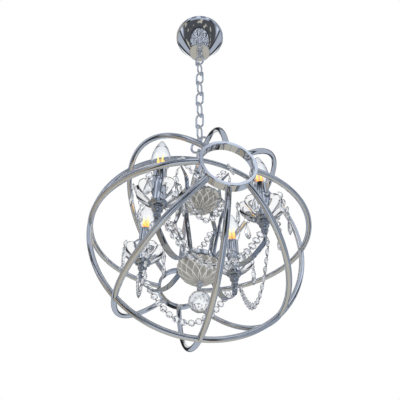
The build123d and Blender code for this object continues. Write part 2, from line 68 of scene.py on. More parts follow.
class Value:
    """A shader socket that can be used in Python sums and products, which become Math nodes."""

    def __init__(self, graph, socket):
        self.graph = graph
        self.socket = socket

    def _math(self, operation, *values, clamp=False):
        node = self.graph.tree.nodes.new("ShaderNodeMath")
        node.operation = operation
        node.use_clamp = clamp
        for i, value in enumerate(values):
            self.graph.put(node.inputs[i], value)
        return Value(self.graph, node.outputs[0])

    def __add__(self, other):
        return self._math("ADD", self, other)

    def __sub__(self, other):
        return self._math("SUBTRACT", self, other)

    def __mul__(self, other):
        return self._math("MULTIPLY", self, other)

    def __neg__(self):
        return self._math("MULTIPLY", self, -1.0)

    def root(self):
        return self._math("POWER", self, 0.5)

    def bearing(self, other):
        """The angle of the point (other, self) about the origin."""
        return self._math("ARCTAN2", self, other)

    def sine(self):
        return self._math("SINE", self)

    def clamped(self):
        return self._math("ADD", self, 0.0, clamp=True)

    def step(self, low, high):
        """0 below low, 1 above high and smooth between."""
        node = self.graph.tree.nodes.new("ShaderNodeMapRange")
        node.interpolation_type = "SMOOTHSTEP"
        self.graph.put(node.inputs["Value"], self)
        self.graph.put(node.inputs["From Min"], low)
        self.graph.put(node.inputs["From Max"], high)
        return Value(self.graph, node.outputs["Result"])


class Graph:
    """The node tree of a material or the world, and the few ways this script adds to it."""

    def __init__(self, owner, fresh=True):
        owner.use_nodes = True
        self.tree = owner.node_tree
        if fresh:
            self.tree.nodes.clear()

    def put(self, socket, value):
        """Feeds an input from a Value, an output socket or a constant."""
        if isinstance(value, Value):
            self.tree.links.new(value.socket, socket)
        elif hasattr(value, "is_output"):
            self.tree.links.new(value, socket)
        else:
            socket.default_value = value

    def node(self, kind, **values):
        """A new node; each value goes to the input of that name, with _ for a space."""
        node = self.tree.nodes.new(kind)
        for key, value in values.items():
            name = key.replace("_", " ").lower()
            self.put(next(s for s in node.inputs if s.enabled and s.name.lower() == name), value)
        return node

    def value(self, node, output):
        return Value(self, node.outputs[output])

    def mix(self, factor, first, second):
        """A colour that goes from the first to the second as the factor goes from 0 to 1."""
        node = self.tree.nodes.new("ShaderNodeMix")
        node.data_type = "RGBA"
        self.put(node.inputs[0], factor)
        self.put(node.inputs[6], first)
        self.put(node.inputs[7], second)
        return Value(self, node.outputs[2])

    def mix_shader(self, factor, first, second):
        node = self.tree.nodes.new("ShaderNodeMixShader")
        self.put(node.inputs[0], factor)
        self.put(node.inputs[1], first.outputs[0])
        self.put(node.inputs[2], second.outputs[0])
        return node

    def coords(self, kind="Object"):
        """The coordinates as one socket and as their three values."""
        node = self.node("ShaderNodeTexCoord")
        axes = self.node("ShaderNodeSeparateXYZ", Vector=node.outputs[kind])
        return node.outputs[kind], [Value(self, axes.outputs[i]) for i in range(3)]

    def noise(self, vector, scale, detail=2.0):
        node = self.node("ShaderNodeTexNoise", Vector=vector, Scale=scale, Detail=detail)
        return Value(self, node.outputs[0])

    def surface(self, shader):
        is_world = any(w.node_tree == self.tree for w in bpy.data.worlds)
        kind = "ShaderNodeOutputWorld" if is_world else "ShaderNodeOutputMaterial"
        self.node(kind, Surface=shader.outputs[0])


# The room round the lamp, which only the metal and the glass show. Low down it has a pale blue
# floor, a beige left side, a blue-grey right side and, behind the camera, small glints. Over the
# horizon come beige spots and then a wall in pale blue stripes, and the ceiling is dark. Ahead, a
# grey-blue hall frames the white backdrop. The camera itself sees white all round, and an even
# grey lights dull surfaces. A zone's edge is where its change begins and where it ends, along a
# direction that runs from -1 to 1; the edges of stripes, spots and glints are on the scale of
# their own patterns. Spots and glints are squat: much wider than they are tall.
AHEAD = (0.172, 0.748, 0.641)
RIGHT = (0.97, -0.22)
FLOOR_EDGE = (-0.56, -0.46)
FLOOR_SIDE_EDGE = (0.36, 0.42)
LEFT_EDGE = (-0.60, -0.50)
RIGHT_EDGE = (0.50, 0.60)
BEHIND_EDGE = (0.0, 0.1)
GLINT_FOOT_EDGE = (-0.12, -0.10)
HORIZON_EDGE = (0.105, 0.110)
SPOT_FOOT_EDGE = (0.125, 0.135)
WALL_FOOT_EDGE = (0.30, 0.38)
WALL_RIGHT_EDGE = (0.45, 0.75)
CEILING_EDGE = (0.80, 0.88)
HALL_EDGE = (0.22, 0.34)
HALL_NEAR_EDGE = (0.36, 0.44)
HALL_FAR_EDGE = (0.80, 0.86)
BACKDROP_EDGE = (0.92, 0.97)
STRIPES_ROUND = 9.0
STRIPE_TURN = 0.3
STRIPE_EDGE = (-0.2, 0.7)
SQUAT = 7.0
SPOT_SCALE, SPOT_EDGE = 3.0, (0.60, 0.62)
GLINT_SCALE, GLINT_EDGE = 14.0, (0.46, 0.54)
THROUGH_GLASS = 0.7
WHITE = (1, 1, 1, 1)
DARK = (0.022, 0.024, 0.028, 1)
FLOOR_BLUE = (0.50, 0.57, 0.69, 1)
LEFT_BEIGE = (0.40, 0.36, 0.30, 1)
RIGHT_BLUE = (0.30, 0.35, 0.43, 1)
STRIPE_DIM = (0.24, 0.28, 0.36, 1)
STRIPE_PALE = (0.74, 0.82, 0.97, 1)
WALL_RIGHT = (0.74, 0.82, 0.96, 1)
BETWEEN_SPOTS = (0.085, 0.09, 0.10, 1)
SPOT_BEIGE = (0.62, 0.59, 0.52, 1)
GLINT_PALE = (0.78, 0.85, 1.0, 1)
HALL_GREY = (0.46, 0.51, 0.60, 1)
FILL_GREY = (0.72, 0.72, 0.72, 1)
world = bpy.data.worlds.new("studio")
scene.world = world
g = Graph(world)
_, (wx, wy, wz) = g.coords("Generated")
ahead = wx * AHEAD[0] + wy * AHEAD[1] + wz * AHEAD[2]
side = wx * RIGHT[0] + wy * RIGHT[1]
across = (side * side).root()
low = g.mix(wz.step(*FLOOR_EDGE), FLOOR_BLUE, DARK)
low = g.mix(across.step(*FLOOR_SIDE_EDGE), low, DARK)
low = g.mix(side.step(*LEFT_EDGE), LEFT_BEIGE, low)
low = g.mix(side.step(*RIGHT_EDGE), low, RIGHT_BLUE)
squat = g.node("ShaderNodeCombineXYZ", X=wx, Y=wy, Z=wz * SQUAT).outputs[0]
glints = g.mix(g.noise(squat, GLINT_SCALE, 0.0).step(*GLINT_EDGE), DARK, GLINT_PALE)
low = g.mix((-ahead).step(*BEHIND_EDGE) * wz.step(*GLINT_FOOT_EDGE), low, glints)
spots = g.mix(g.noise(squat, SPOT_SCALE, 1.0).step(*SPOT_EDGE), BETWEEN_SPOTS, SPOT_BEIGE)
spots = g.mix(wz.step(*SPOT_FOOT_EDGE), DARK, spots)
stripes = (wy.bearing(wx) * STRIPES_ROUND - STRIPE_TURN).sine()
wall = g.mix(stripes.step(*STRIPE_EDGE), STRIPE_DIM, STRIPE_PALE)
wall = g.mix(side.step(*WALL_RIGHT_EDGE), wall, WALL_RIGHT)
high = g.mix(wz.step(*WALL_FOOT_EDGE), spots, wall)
room = g.mix(wz.step(*HORIZON_EDGE), low, high)
room = g.mix(wz.step(*CEILING_EDGE), room, DARK)
hall = g.mix(ahead.step(*HALL_NEAR_EDGE), DARK, HALL_GREY)
hall = g.mix(ahead.step(*HALL_FAR_EDGE), hall, DARK)
room = g.mix(ahead.step(*HALL_EDGE), room, hall)
path = g.node("ShaderNodeLightPath")
room = g.mix(g.value(path, "Is Diffuse Ray"), room, FILL_GREY)
seen = g.value(path, "Is Camera Ray") + g.value(path, "Is Transmission Ray") * THROUGH_GLASS
mirrored = g.value(path, "Is Glossy Ray") + g.value(path, "Is Transmission Ray")
white = (seen + mirrored * ahead.step(*BACKDROP_EDGE)).clamped()
g.surface(g.node("ShaderNodeBackground", Color=g.mix(white, room, WHITE), Strength=1.0))

# The floor is a round sheet that fades out before its rim, so that it has no hard edge.
FLOOR_Z = -1.75
FLOOR_RADIUS = 1.9
FLOOR_CENTRE = (0.15, 0.75)
FLOOR_FADE = (1.05, 1.35)
FLOOR_COLOUR = (0.72, 0.69, 0.595, 1)
FLOOR_SIDES = 64
rim = []
for s in range(FLOOR_SIDES):
    a = 2 * math.pi * s / FLOOR_SIDES
    x = FLOOR_CENTRE[0] + FLOOR_RADIUS * math.cos(a)
    y = FLOOR_CENTRE[1] + FLOOR_RADIUS * math.sin(a)
    rim.append((x, y, FLOOR_Z))
floor_mesh = bpy.data.meshes.new("floor")
floor_mesh.from_pydata(rim, [], [tuple(range(FLOOR_SIDES))])
floor = bpy.data.objects.new("floor", floor_mesh)
scene.collection.objects.link(floor)
floor_material = bpy.data.materials.new("floor")
floor_mesh.materials.append(floor_material)
g = Graph(floor_material)
_, (fx, fy, _) = g.coords()
fx = fx - FLOOR_CENTRE[0]
fy = fy - FLOOR_CENTRE[1]
paint = g.node("ShaderNodeBsdfPrincipled", Base_Color=FLOOR_COLOUR, Roughness=0.9)
clear = g.node("ShaderNodeBsdfTransparent")
g.surface(g.mix_shader((fx * fx + fy * fy).root().step(*FLOOR_FADE), paint, clear))


def softbox(name, place, size, power):
    """A square lamp turned to the orb, which neither the camera nor a reflection shows."""
    lamp_data = bpy.data.lights.new(name, "AREA")
    lamp_data.shape = "SQUARE"
    lamp_data.size = size
    lamp_data.energy = power
    lamp = bpy.data.objects.new(name, lamp_data)
    scene.collection.objects.link(lamp)
    aim(lamp, place, Vector((0, 0, -0.6)) - Vector(place))
    lamp.visible_camera = False
    lamp.visible_glossy = False


softbox("left_softbox", place=(-1.8, -1.2, 0.2), size=1.2, power=6)
softbox("right_softbox", place=(1.9, -0.6, -0.2), size=1.0, power=4)

# ---- Ceiling bar, nipple and locknut -----------------------------------------------------------
# Stamped zinc-plated bar, hollow threaded nipple and pressed locknut. All three are hidden inside
# the canopy and keep their solid shapes.
MOTTLE_SCALE = 35.0
MOTTLE_SHADE = 0.93
SCRATCH_SCALE = 900.0
SCRATCH_DEPTH = 0.0002


def metal(name, colour, roughness, spread=0.04, marks=0.015):
    """Plated metal: a mirror with hair-fine polishing marks and faint mottling from hands."""
    material = bpy.data.materials.new(name)
    g = Graph(material)
    vector, _ = g.coords()
    mottle = g.noise(vector, MOTTLE_SCALE)
    scratch = g.noise(vector, SCRATCH_SCALE, 1.0)
    deeper = tuple(c * MOTTLE_SHADE for c in colour) + (1,)
    bump = g.node("ShaderNodeBump", Height=scratch, Strength=marks, Distance=SCRATCH_DEPTH)
    shader = g.node(
        "ShaderNodeBsdfPrincipled",
        Base_Color=g.mix(mottle, tuple(colour) + (1,), deeper),
        Metallic=1.0,
        Roughness=mottle * spread + roughness,
        Normal=bump.outputs[0],
    )
    g.surface(shader)
    return material


zinc = metal("zinc", (0.62, 0.63, 0.64), 0.28, 0.12, 0.1)
for node in ("ceiling_crossbar", "threaded_nipple", "nipple_locknut"):
    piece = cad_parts[node]
    piece.data.materials.clear()
    piece.data.materials.append(zinc)

# ---- Canopy ------------------------------------------------------------------------------------
# Spun steel cup with a short upright rim, a rounded shoulder and a flat boss, chrome plated. It is
# held up by the loop screwed on the nipple below it.
chrome = metal("chrome", (0.80, 0.81, 0.83), 0.03)


def add_mesh(name, verts, faces, material, smooth=True, crease=None):
    """A new object from vertices and faces, in metres, with its normals pointing outwards. Edges
    that bend by more than the crease, in degrees, stay sharp."""
    mesh = bpy.data.meshes.new(name)
    mesh.from_pydata([tuple(v) for v in verts], [], faces)
    bm = bmesh.new()
    bm.from_mesh(mesh)
    bmesh.ops.remove_doubles(bm, verts=bm.verts, dist=1e-6)
    bmesh.ops.recalc_face_normals(bm, faces=bm.faces)
    bm.to_mesh(mesh)
    bm.free()
    mesh.materials.append(material)
    for polygon in mesh.polygons:
        polygon.use_smooth = smooth
    if crease:
        mesh.set_sharp_from_angle(angle=math.radians(crease))
    obj = bpy.data.objects.new(name, mesh)
    scene.collection.objects.link(obj)
    return obj


def lathe(profile, at=(0, 0), sides=96, wave=None):
    """Vertices and faces of a profile of (radius, height) turned about an upright axis. A wave
    moves each point by its angle, radius, height and number in the profile."""
    verts = []
    faces = []
    count = len(profile)
    for j in range(sides):
        a = 2 * math.pi * j / sides
        for i, (r, z) in enumerate(profile):
            r, z = wave(a, r, z, i) if wave else (r, z)
            verts.append((at[0] + r * math.cos(a), at[1] + r * math.sin(a), z))
    for j in range(sides):
        k = (j + 1) % sides
        for i in range(count - 1):
            faces.append((j * count + i, k * count + i, k * count + i + 1, j * count + i + 1))
    return verts, faces


def mm(profile, drop=0.0):
    """Millimetre pairs turned into metres, with heights lowered by drop metres."""
    return [(r / 1000, z / 1000 - drop) for r, z in profile]


def fit(obj, body, *nodes, slot="chrome"):
    """Ties a finished piece to its body and hides the solid that it shows."""
    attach(obj, body)
    if nodes:
        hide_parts(*nodes)


# The cup's wall runs from the shoulder to the boss, bowed out a little between them.
SHOULDER = (58.2, -9.7)
BOSS = (26.6, -70.6)
WALL_BOW = 1.2
BOW_OUT, BOW_DOWN = 0.86, 0.5
WALL_STEPS = 15
canopy_outer = [(61.5, 0.0), (61.5, -7.2), (61.2, -8.0), (59.8, -8.9), SHOULDER]
for i in range(1, WALL_STEPS + 1):
    t = i / WALL_STEPS
    bow = 4 * t * (1 - t) * WALL_BOW
    r = SHOULDER[0] + (BOSS[0] - SHOULDER[0]) * t + bow * BOW_OUT
    canopy_outer.append((r, SHOULDER[1] + (BOSS[1] - SHOULDER[1]) * t - bow * BOW_DOWN))
canopy_outer += [(26.2, -71.3), (25.5, -71.8), (24.6, -72.0), (5.4, -72.0)]
canopy_inner = [(5.4, -70.8), (24.4, -70.8), (57.0, -9.2), (60.3, -7.0), (60.3, 0.0), (61.5, 0.0)]
shape = lathe(mm(canopy_outer + canopy_inner), sides=128)
fit(add_mesh("canopy", *shape, chrome, crease=35), "ceiling_fixing", "canopy")

# ---- Canopy loop -------------------------------------------------------------------------------
# Turned brass collar with a cast eye, screwed on the nipple's end so that it clamps the canopy.
# The eye stands at 45 degrees to the lamp's front, as every second link below it does.
TURN_45 = math.radians(45)
LOOP_Z = -0.084
LOOP_RADIUS = 0.0065
EYE_WIRE = 0.002


def ring_points(centre_z, radius, azimuth, sides):
    """Points round an upright circle whose plane holds the lamp's axis."""
    out = []
    for s in range(sides):
        a = 2 * math.pi * s / sides
        x = radius * math.cos(a)
        z = centre_z + radius * math.sin(a)
        out.append(Vector((x * math.cos(azimuth), x * math.sin(azimuth), z)))
    return out


def disc(radius, sides):
    """Points of a round section."""
    turns = [2 * math.pi * s / sides for s in range(sides)]
    return [(radius * math.cos(a), radius * math.sin(a)) for a in turns]


def sweep(points, section, closed=False, normal=None):
    """Vertices and faces of a closed 2-D section carried along points without twisting. With a
    normal, the section's first axis stays along it, as on a flat bar bent in one plane."""
    count = len(points)
    tangents = []
    for i in range(count):
        before = points[(i - 1) % count] if closed or i else points[0]
        after = points[(i + 1) % count] if closed or i < count - 1 else points[-1]
        tangents.append((after - before).normalized())
    side = normal or tangents[0].orthogonal().normalized()
    verts = []
    for point, tangent in zip(points, tangents):
        side = (side - tangent * side.dot(tangent)).normalized()
        other = tangent.cross(side)
        verts += [point + side * u + other * v for u, v in section]
    size = len(section)
    faces = []
    for i in range(count if closed else count - 1):
        n = (i + 1) % count
        for s in range(size):
            t = (s + 1) % size
            faces.append((i * size + s, i * size + t, n * size + t, n * size + s))
    if not closed:
        faces.append(tuple(range(size)))
        faces.append(tuple((count - 1) * size + s for s in range(size)))
    return verts, faces


def join(parts):
    """Joins several (vertices, faces) into one."""
    verts = []
    faces = []
    for v, f in parts:
        base = len(verts)
        verts += list(v)
        faces += [tuple(i + base for i in face) for face in f]
    return verts, faces


collar = [(5.05, -72.0), (9.0, -72.0), (9.0, -76.0), (8.6, -77.0), (7.5, -77.5), (0.0, -77.5)]
eye = sweep(ring_points(LOOP_Z, LOOP_RADIUS, TURN_45, 40), disc(EYE_WIRE, 14), closed=True)
shape = join([lathe(mm(collar), sides=48), eye])
fit(add_mesh("canopy_loop", *shape, chrome, crease=40), "ceiling_fixing", "canopy_loop")

# ---- Chain -------------------------------------------------------------------------------------
# Bent and welded steel wire, chrome plated: a wider first link, seven oval links turned a quarter
# one after another and a round ring that the hanger's eye hooks over.
QUICK_LINK_TOP, QUICK_LINK_FOOT = -0.08595, -0.12395
QUICK_LINK_WIDTH = 0.0215
QUICK_LINK_WIRE = 0.00225
FIRST_LINK_Z = -0.14105
LINK_PITCH = 0.039
LINK_LENGTH, LINK_WIDTH = 0.0436, 0.0174
LINK_WIRE = 0.00215
RING_Z = -0.4124
RING_RADIUS = 0.0205
RING_WIRE = 0.0025
# A brighter, paler copy of the chrome for the chain: painted light.
chrome_painted_light = metal("chrome_painted_light", (0.95, 0.97, 1.0), 0.14)


def link_points(centre_z, length, width, azimuth, steps=12):
    """Points round an oval link: two straight sides and two half-round bends."""
    r = width / 2
    h = length / 2 - r
    out = []
    for side, begin in ((1, 0.0), (-1, math.pi)):
        for s in range(steps + 1):
            a = begin + math.pi * s / steps
            out.append((r * math.cos(a), side * h + r * math.sin(a)))
    return [Vector((x * math.cos(azimuth), x * math.sin(azimuth), centre_z + z)) for x, z in out]


middle = (QUICK_LINK_TOP + QUICK_LINK_FOOT) / 2
points = link_points(middle, QUICK_LINK_TOP - QUICK_LINK_FOOT, QUICK_LINK_WIDTH, -TURN_45)
shape = sweep(points, disc(QUICK_LINK_WIRE, 16), closed=True)
fit(add_mesh("quick_link", *shape, chrome_painted_light), "quick_link_body", "quick_link")
for n in range(7):
    azimuth = TURN_45 if n % 2 == 0 else -TURN_45
    points = link_points(FIRST_LINK_Z - LINK_PITCH * n, LINK_LENGTH, LINK_WIDTH, azimuth)
    shape = sweep(points, disc(LINK_WIRE, 16), closed=True)
    name = f"chain_link_{n + 1}"
    fit(add_mesh(name, *shape, chrome_painted_light), f"{name}_body", name)
shape = sweep(ring_points(RING_Z, RING_RADIUS, -TURN_45, 64), disc(RING_WIRE, 18), closed=True)
fit(add_mesh("hanging_ring", *shape, chrome_painted_light), "hanging_ring_body", "hanging_ring")

# ---- Hanger stem -------------------------------------------------------------------------------
# Chromed tube through the crown of the cage, with a forged eye at its top and a flared foot that
# meets the inner frame's column.
STEM_EYE_Z = -0.4336
STEM_EYE_RADIUS = 0.0055
stem = [(0, -439.0), (4.5, -439.0), (6.2, -439.6), (7, -441), (7, -484.5), (7.4, -486.5)]
stem += [(8.6, -489.5), (10, -492.0), (3.6, -492.0), (3.6, -450.0), (0, -450.0)]
points = ring_points(STEM_EYE_Z, STEM_EYE_RADIUS, TURN_45, 40)
shape = join([lathe(mm(stem), sides=64), sweep(points, disc(EYE_WIRE, 14), closed=True)])
fit(add_mesh("hanger_stem", *shape, chrome, crease=40), "orb_frame", "hanger_stem")

# ---- Orb cage ----------------------------------------------------------------------------------
# Round steel tube rolled to one radius: a full ring and sixteen quarter arcs coped and welded to
# it, gathered by a flat hoop at each end, then polished and chrome plated as one piece.
ORB_DROP = 0.652
CAGE_RADIUS = 0.195
TUBE = 0.005
CAGE_TURNS = 192
ARC_STEPS = 48
HOOP_ENTRY = 0.0435
RING_GAP = 0.012
HOOP_INSIDE, HOOP_OUTSIDE = 0.040, 0.046
HOOP_NEAR, HOOP_FAR = 0.183, 0.198
LIP = 0.0008
circle = []
for s in range(CAGE_TURNS):
    a = 2 * math.pi * s / CAGE_TURNS
    circle.append(Vector((CAGE_RADIUS * math.cos(a), 0, CAGE_RADIUS * math.sin(a) - ORB_DROP)))
piece = add_mesh("equator_ring", *sweep(circle, disc(TUBE, 24), closed=True), chrome)
fit(piece, "orb_frame", "equator_ring")
band = [(HOOP_OUTSIDE, HOOP_FAR - LIP), (HOOP_OUTSIDE - LIP, HOOP_FAR)]
band += [(HOOP_INSIDE + LIP, HOOP_FAR), (HOOP_INSIDE, HOOP_FAR - LIP)]
band += [(HOOP_INSIDE, HOOP_NEAR + LIP), (HOOP_INSIDE + LIP, HOOP_NEAR)]
band += [(HOOP_OUTSIDE - LIP, HOOP_NEAR), (HOOP_OUTSIDE, HOOP_NEAR + LIP)]
for side, word in ((-1, "front"), (1, "back")):
    arcs = []
    first = math.asin(HOOP_ENTRY / CAGE_RADIUS)
    last = math.pi / 2 - RING_GAP
    for n in range(8):
        a = math.pi * n / 4
        points = []
        for s in range(ARC_STEPS + 1):
            b = first + (last - first) * s / ARC_STEPS
            out = CAGE_RADIUS * math.sin(b)
            y = side * CAGE_RADIUS * math.cos(b)
            points.append(Vector((out * math.cos(a), y, out * math.sin(a) - ORB_DROP)))
        arcs.append(sweep(points, disc(TUBE, 24)))
    fit(add_mesh(f"{word}_arcs", *join(arcs), chrome, crease=50), "orb_frame", f"{word}_arcs")
    verts, faces = lathe(band + band[:1], sides=128)
    verts = [(x, side * depth, z - ORB_DROP) for x, z, depth in verts]
    fit(add_mesh(f"{word}_hoop", verts, faces, chrome, crease=30), "orb_frame", f"{word}_hoop")

# ---- Upper hub and column ----------------------------------------------------------------------
# Turned brass column between the stem's flared foot and a round plate that spreads the four straps
# at their necks; chrome plated. A screw through the plate holds the upper bowl.
column = [(0, 85.5), (42.9, 85.5), (43.5, 86.0), (43.5, 88.0), (42.8, 88.5), (14, 90.6)]
column += [(11.6, 92), (8.6, 97), (7.0, 102), (5.6, 109), (5.0, 117.5), (6.2, 121), (9.5, 124)]
column += [(11.6, 128), (11.9, 131), (10.6, 135.5), (7.6, 139.5), (6.0, 142), (5.4, 146)]
column += [(6.2, 152), (10, 160), (0, 160)]
shape = lathe(mm(column, ORB_DROP), sides=72)
fit(add_mesh("upper_hub", *shape, chrome, crease=40), "orb_frame", "upper_hub")
screw = [(0, 85.2), (3, 85.2), (3, 61.7), (5.8, 61.7), (5.6, 60.2), (4.4, 59.2), (2.4, 58.8)]
screw += [(0, 58.7)]
shape = lathe(mm(screw, ORB_DROP), sides=40)
fit(add_mesh("upper_bowl_screw", *shape, chrome, crease=40), "orb_frame", "upper_bowl_screw")

# ---- Basket straps and arms --------------------------------------------------------------------
# Flat bar with rolled edges, bent cold in one plane and chrome plated: four S-shaped straps make
# the basket, four upturned arms carry the candles. They are screwed to the plate and drum.
STRAP_WIDTH, STRAP_THICKNESS = 0.009, 0.0018
ARM_WIDTH, ARM_THICKNESS = 0.012, 0.0022
CURVE_STEPS = 6
NECK_Z = 0.106
NECK_RISE = 0.018
NECK_DRAW = 0.62
# A darker, bluer copy of the chrome for the straps, arms, cups and saucers: painted shade.
chrome_painted_shade = metal("chrome_painted_shade", (0.47, 0.50, 0.55), 0.04)


def smooth_curve(points, steps):
    """Points of a Catmull-Rom curve through the given ones."""
    pts = [Vector(p) for p in points]
    pts = [2 * pts[0] - pts[1]] + pts + [2 * pts[-1] - pts[-2]]
    out = []
    for i in range(1, len(pts) - 2):
        a, b, c, d = pts[i - 1 : i + 3]
        for s in range(steps):
            t = s / steps
            bend = (2 * a - 5 * b + 4 * c - d) * t**2 + (3 * b - a - 3 * c + d) * t**3
            out.append(0.5 * (2 * b + (c - a) * t + bend))
    out.append(pts[-2])
    return out


def bar_section(width, thickness, rounds=4):
    """Outline of a flat bar with half-round edges."""
    r = thickness / 2
    out = []
    for side in (1, -1):
        for s in range(rounds + 1):
            a = -math.pi / 2 + math.pi * s / rounds
            out.append((side * (width / 2 - r + r * math.cos(a)), side * r * math.sin(a)))
    return out


def radial(points, azimuth):
    """Points (radius, height from the orb's centre) in millimetres, put at an azimuth in metres."""
    c, s = math.cos(azimuth), math.sin(azimuth)
    return [Vector((r * c, r * s, z - 1000 * ORB_DROP)) / 1000 for r, z in points]


strap = [(66, 125), (60, 120.5), (54, 117), (48, 110), (44.8, 99), (44.6, 92), (44.6, 84.5)]
strap += [(46, 76), (51, 65), (56.5, 54), (57, 48), (53.5, 38), (47, 27), (43.6, 16), (41, 5)]
strap += [(36, -14), (31.6, -33), (29.6, -44.5), (29.55, -50)]
arm = [(127.5, -42), (127.5, -48), (124.6, -58.3), (117, -66), (108.7, -73.2), (99.9, -79.6)]
arm += [(89.8, -83.7), (79, -85), (68.5, -83.6), (59, -79.1), (50.8, -72.5), (42.9, -65.3)]
arm += [(34.8, -58.5), (28.7, -53.7)]
for n in range(4):
    azimuth = math.radians(45 + 90 * n)
    across = Vector((-math.sin(azimuth), math.cos(azimuth), 0))
    points = radial(smooth_curve(strap, CURVE_STEPS), azimuth)
    shape = sweep(points, bar_section(STRAP_WIDTH, STRAP_THICKNESS), normal=across)
    # The strap is drawn in to a narrow tip above its neck.
    for v in shape[0]:
        narrow = min(max((v.z + ORB_DROP - NECK_Z) / NECK_RISE, 0.0), 1.0)
        v -= across * v.dot(across) * NECK_DRAW * narrow
    name = f"basket_strap_{n + 1}"
    fit(add_mesh(name, *shape, chrome_painted_shade, crease=50), "orb_frame", name)
    points = radial(smooth_curve(arm, CURVE_STEPS), azimuth)
    shape = sweep(points, bar_section(ARM_WIDTH, ARM_THICKNESS), normal=across)
    name = f"arm_{n + 1}"
    fit(add_mesh(name, *shape, chrome_painted_shade, crease=50), "orb_frame", name)

# ---- Lower hub, finial -------------------------------------------------------------------------
# Pressed drum that the arms and straps meet on, and the turned finial on a long stud that holds
# the lower bowl up; a small ring hangs under it.
SMALL_RING_Z = -0.7584
SMALL_RING_RADIUS = 0.0026
SMALL_RING_WIRE = 0.0008
drum = [(3.1, -57.2), (25.5, -57.2), (25.5, -45), (28.5, -45), (28.5, -58.6), (28, -59.6)]
drum += [(27, -60), (3.1, -60), (3.1, -57.2)]
shape = lathe(mm(drum, ORB_DROP), sides=72)
fit(add_mesh("lower_hub", *shape, chrome, crease=35), "orb_frame", "lower_hub")
finial = [(0, -57), (3, -57), (3, -94.3), (6.4, -94.3), (6.5, -95), (5.2, -96), (3.8, -97.6)]
finial += [(3.6, -98.4), (4.2, -99.6), (5, -100.4), (5, -101.6), (3.2, -103.6), (0, -103.8)]
points = ring_points(SMALL_RING_Z, SMALL_RING_RADIUS, 0.0, 24)
small_ring = sweep(points, disc(SMALL_RING_WIRE, 8), closed=True)
shape = join([lathe(mm(finial, ORB_DROP), sides=40), small_ring])
fit(add_mesh("bowl_finial", *shape, chrome, crease=40), "orb_frame", "bowl_finial")

# ---- Upper and lower bowl ----------------------------------------------------------------------
# Pressed glass cut outside into diamonds. Its cut lines are painted white and glow against the warm
# grey glass: painted glints.
# The screw holds the upper bowl under the plate, and the finial the lower one under the drum.
CUTS_ROUND = 7.0
CUT_CLIMB = 170.0
CUT_EDGE = (0.0, 0.05)
CUT_PAINTED_GLINT = 0.22
BOWL_SWEEP = math.radians(84)
BOWL_FOOT = 7.0
BOWL_WALL = 0.0028
STUD_HOLE = 0.0034
INSIDE_RISE = 0.8
HAZE_SCALE, HAZE = 60.0, 0.02
RIPPLE_SCALE, RIPPLE_DEPTH = 180.0, 0.001
EDGE_ON = (0.3, 0.9)


def glass(name, colour, edge, ior=1.52, ripple=0.0, clear=1.0):
    """Glass of one colour seen straight on and of another, painted shade, seen edge on."""
    material = bpy.data.materials.new(name)
    g = Graph(material)
    vector, _ = g.coords()
    haze = g.noise(vector, HAZE_SCALE)
    values = {}
    if ripple:
        waves = g.noise(vector, RIPPLE_SCALE)
        bump = g.node("ShaderNodeBump", Height=waves, Strength=ripple, Distance=RIPPLE_DEPTH)
        values["Normal"] = bump.outputs[0]
    facing = g.value(g.node("ShaderNodeLayerWeight", Blend=0.5), "Facing")
    shader = g.node(
        "ShaderNodeBsdfPrincipled",
        Base_Color=g.mix(facing.step(*EDGE_ON), tuple(colour) + (1,), tuple(edge) + (1,)),
        Roughness=haze * HAZE,
        IOR=ior,
        Transmission_Weight=clear,
        **values,
    )
    g.surface(shader)
    return material


def reopened(material):
    """A finished material's graph, its shader and the socket that gives its base colour."""
    g = Graph(material, fresh=False)
    shader = next(n for n in g.tree.nodes if n.type == "BSDF_PRINCIPLED")
    return g, shader, shader.inputs["Base Color"].links[0].from_socket


bowl_glass = glass("bowl_glass", (0.66, 0.64, 0.59), (0.56, 0.54, 0.48), ior=1.35, clear=0.4)
g, shader, plain = reopened(bowl_glass)
_, (bx, by, bz) = g.coords()
rising = (by.bearing(bx) * CUTS_ROUND + bz * CUT_CLIMB).sine()
falling = (by.bearing(bx) * CUTS_ROUND - bz * CUT_CLIMB).sine()
between_cuts = (rising * rising).step(*CUT_EDGE) * (falling * falling).step(*CUT_EDGE)
# The cut lines are painted white and glow faintly: painted glints.
g.put(shader.inputs["Base Color"], g.mix(between_cuts, WHITE, plain))
g.put(shader.inputs["Emission Color"], g.mix(between_cuts, WHITE, (0, 0, 0, 1)))
shader.inputs["Emission Strength"].default_value = CUT_PAINTED_GLINT


def cut_bowl(name, rim_r, rim_z, base_z, rows, sides):
    """Bowl whose outside is cut into diamonds: staggered rows of points joined by flat facets,
    round a smooth inside. The rim and the base are in millimetres."""
    ring = []
    for i in range(rows + 1):
        a = i / rows * BOWL_SWEEP
        r = BOWL_FOOT + (rim_r - BOWL_FOOT) * math.sin(a) / math.sin(BOWL_SWEEP)
        z = base_z + (rim_z - base_z) * (1 - math.cos(a)) / (1 - math.cos(BOWL_SWEEP))
        ring.append((r / 1000, z / 1000 - ORB_DROP))
    inner = [(max(r - BOWL_WALL, STUD_HOLE), z + BOWL_WALL * INSIDE_RISE) for r, z in ring]
    inner[-1] = (ring[-1][0] - BOWL_WALL, ring[-1][1])
    verts = []
    for i, (r, z) in enumerate(ring + inner):
        stagger = 0.5 * (i % 2) if i <= rows else 0.0
        for j in range(sides):
            b = 2 * math.pi * (j + stagger) / sides
            verts.append((r * math.cos(b), r * math.sin(b), z))
    base = (rows + 1) * sides
    top = rows * sides
    faces = []
    for j in range(sides):
        k = (j + 1) % sides
        for i in range(rows):
            low, high = i * sides, (i + 1) * sides
            if i % 2 == 0:
                faces.append((low + j, low + k, high + j))
                faces.append((low + k, high + k, high + j))
            else:
                faces.append((low + j, high + k, high + j))
                faces.append((low + j, low + k, high + k))
            faces.append((base + low + j, base + high + j, base + high + k, base + low + k))
        faces.append((top + j, top + k, base + top + k, base + top + j))
        faces.append((j, base + j, base + k, k))
    return add_mesh(name, verts, faces, bowl_glass, smooth=False)


